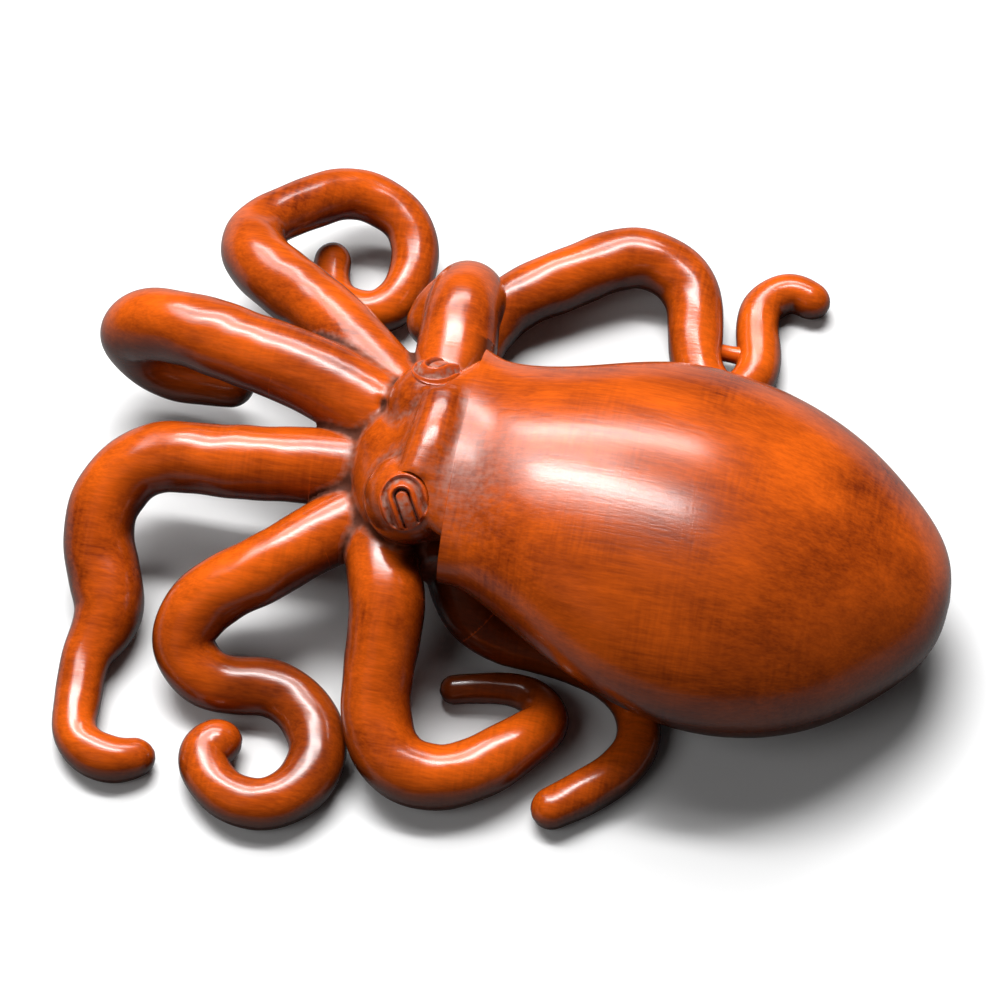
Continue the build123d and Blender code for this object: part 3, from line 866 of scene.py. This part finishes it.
def arch_relief(across, up):
    # Height of the carved arch over the dome, and the crease mark: near black painted shade in the slit,
    # darker with dust in the gutter, dusty on the tongue
    spine = np.where(up > EYE_ARCH_RISE, np.hypot(across, up - EYE_ARCH_RISE), np.abs(across))
    tongue = eased((ARCH_TONGUE - spine) / TONGUE_EDGE)
    height = TONGUE_HEIGHT * tongue
    rounds = []
    for middle, width, rise in (ARCH_BEAD, ARCH_BORDER, ARCH_SLIT, ARCH_GUTTER):
        rounds.append(np.exp(-((spine - middle) / width) ** 2))
        height += rise * rounds[-1]
    slit, gutter = rounds[-2:]
    return height, np.clip(slit + GUTTER_DUST_AND_SHADE * gutter + TONGUE_DUST * tongue, 0, 1)


def eye(name):
    # A domed plug with the arch cut into it, on a straight shank
    place, side = EYE_PLACES[name]
    shares = np.linspace(EYE_CENTRE, 1, EYE_RINGS)[:, None]
    across = EYE_RADIUS * shares * np.cos(ARM_TURNS)[None]
    up = EYE_RADIUS * EYE_OVAL * shares * np.sin(ARM_TURNS)[None]
    lean = math.radians(EYE_ARCH_TURN)
    arch_up = -side * up
    arch_across = across * math.cos(lean) + arch_up * math.sin(lean)
    relief, dark = arch_relief(arch_across, arch_up * math.cos(lean) - across * math.sin(lean))
    edge = eased((1 - shares) / EYE_RIM)
    fall = EYE_DOME_RADIUS - np.sqrt(EYE_DOME_RADIUS ** 2 - across ** 2 - up ** 2)
    dome = np.stack([across, up, EYE_DOME_HEIGHT - fall + relief * edge], -1)
    foot = dome[-1:].copy()
    foot[..., 2] = -EYE_SHANK
    rings = np.concatenate([dome, foot])
    frame_matrix = np.array(eye_frame(place, side))
    rings = rings @ frame_matrix[:3, :3].T + frame_matrix[:3, 3]
    return piece_of_rings(name, rings, np.concatenate([dark * edge, np.ones((1, ARM_AROUND))]))


eye_boxwood = boxwood(
    "eye boxwood", light=(0.86, 0.122, 0.006, 1), deep=(0.34, 0.040, 0.004, 1), dust_share=1.2)
for eye_name in EYE_PLACES:
    finish_piece(eye(eye_name), eye_name, eye_boxwood)


# The pegs.
# Short dowels of bare wood, one glued into each arm seat and two into the neck, out of sight inside.
# The CAD model's own dowels stay as they are and get the look of bare wood.
peg_wood = boxwood("peg wood", light=(0.62, 0.42, 0.20, 1), deep=(0.45, 0.28, 0.12, 1), dust_share=0.2)
for peg_name in ("arm_pegs", "neck_pegs"):
    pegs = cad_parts[peg_name]
    pegs.data.materials.clear()
    pegs.data.materials.append(peg_wood)


# The table and the light.
# A pale sheet under the carving, two long lamps above and behind it that draw a pair of streaks along
# the mantle, a soft box that lays a broad sheen on every top, a weak fill and a dim room round them.
TARGET = Vector((-0.4, 2.2, 6.0)) * MM + SETTING_OUT
CAMERA_TURN = 11.0
CAMERA_RISE = 58.0
CAMERA_DISTANCE = 0.320
PIXELS_PER_MM = 14.5
PICTURE_WIDTH = 1000
SENSOR = 36.0
LAMP_DISTANCE = 0.40
ROOM_LIGHT = 0.03
TABLE_HALF = 2.0
TABLE_SHADE = (0.04, 0.04, 0.04, 1)
TABLE_WHITE = (0.92, 0.92, 0.92, 1)
MIRRORED_SHARE = 0.2


def lamp(name, direction, length, width, power):
    # A square-cornered lamp, level along the mantle and facing the carving
    back = Vector(direction).normalized()
    level = (Vector((1, 0, 0)) - back * back.x).normalized()
    light = bpy.data.lights.new(name, "AREA")
    light.shape = "RECTANGLE"
    light.size = length
    light.size_y = width
    light.energy = power
    thing = bpy.data.objects.new(name, light)
    bpy.context.collection.objects.link(thing)
    matrix = Matrix((level, back.cross(level), back)).transposed().to_4x4()
    matrix.translation = TARGET + back * LAMP_DISTANCE
    thing.matrix_world = matrix
    return thing


lamp("high strip", direction=(-0.16, 0.34, 0.91), length=0.30, width=0.05, power=1.2)
lamp("low strip", direction=(-0.16, 0.69, 0.68), length=0.30, width=0.04, power=0.7)
lamp("soft box", direction=(-0.30, 0.40, 0.87), length=0.30, width=0.26, power=1.15)
fill = lamp("left fill", direction=(-0.45, -0.55, 0.70), length=0.22, width=0.22, power=0.25)
fill.visible_glossy = False

camera = bpy.data.objects.new("camera", bpy.data.cameras.new("camera"))
bpy.context.collection.objects.link(camera)
camera.data.sensor_width = SENSOR
camera.data.lens = PIXELS_PER_MM * CAMERA_DISTANCE / MM * SENSOR / PICTURE_WIDTH
camera.data.clip_start = 0.01
turn, rise = math.radians(CAMERA_TURN), math.radians(CAMERA_RISE)
level_reach = math.cos(rise)
toward_camera = Vector((math.sin(turn) * level_reach, -math.cos(turn) * level_reach, math.sin(rise)))
camera.location = TARGET + toward_camera * CAMERA_DISTANCE
camera.rotation_euler = toward_camera.to_track_quat("Z", "Y").to_euler()
bpy.context.scene.camera = camera

table_mesh = bpy.data.meshes.new("table")
corners = [(-TABLE_HALF, -TABLE_HALF, 0), (TABLE_HALF, -TABLE_HALF, 0)]
corners += [(TABLE_HALF, TABLE_HALF, 0), (-TABLE_HALF, TABLE_HALF, 0)]
table_mesh.from_pydata(corners, [], [(0, 1, 2, 3)])
table = bpy.data.objects.new("table", table_mesh)
bpy.context.collection.objects.link(table)
table_paper = bpy.data.materials.new("table paper")
table_paper.use_nodes = True
paper_nodes, paper_links = table_paper.node_tree.nodes, table_paper.node_tree.links
paper = paper_nodes["Principled BSDF"]
paper.inputs["Roughness"].default_value = 0.9
paper.inputs["Specular IOR Level"].default_value = 0.0
rays = paper_nodes.new("ShaderNodeLightPath").outputs
seen = rays["Is Camera Ray"]
for ray in ("Is Glossy Ray", "Is Transmission Ray"):
    either = paper_nodes.new("ShaderNodeMath")
    either.operation = "MAXIMUM"
    dimmed = paper_nodes.new("ShaderNodeMath")
    dimmed.operation = "MULTIPLY"
    dimmed.inputs[1].default_value = MIRRORED_SHARE
    paper_links.new(rays[ray], dimmed.inputs[0])
    paper_links.new(seen, either.inputs[0])
    paper_links.new(dimmed.outputs[0], either.inputs[1])
    seen = either.outputs[0]
paper_shade = paper_nodes.new("ShaderNodeMix")
paper_shade.data_type = "RGBA"
paper_shade.inputs[6].default_value = TABLE_SHADE
paper_shade.inputs[7].default_value = TABLE_WHITE
paper_links.new(seen, paper_shade.inputs[0])
paper_links.new(paper_shade.outputs[2], paper.inputs["Base Color"])
table_mesh.materials.append(table_paper)

world = bpy.data.worlds.new("room")
bpy.context.scene.world = world
world.use_nodes = True
room_light = world.node_tree.nodes["Background"]
room_light.inputs["Color"].default_value = (1, 1, 1, 1)
room_light.inputs["Strength"].default_value = ROOM_LIGHT
bpy.context.scene.view_settings.view_transform = "Standard"
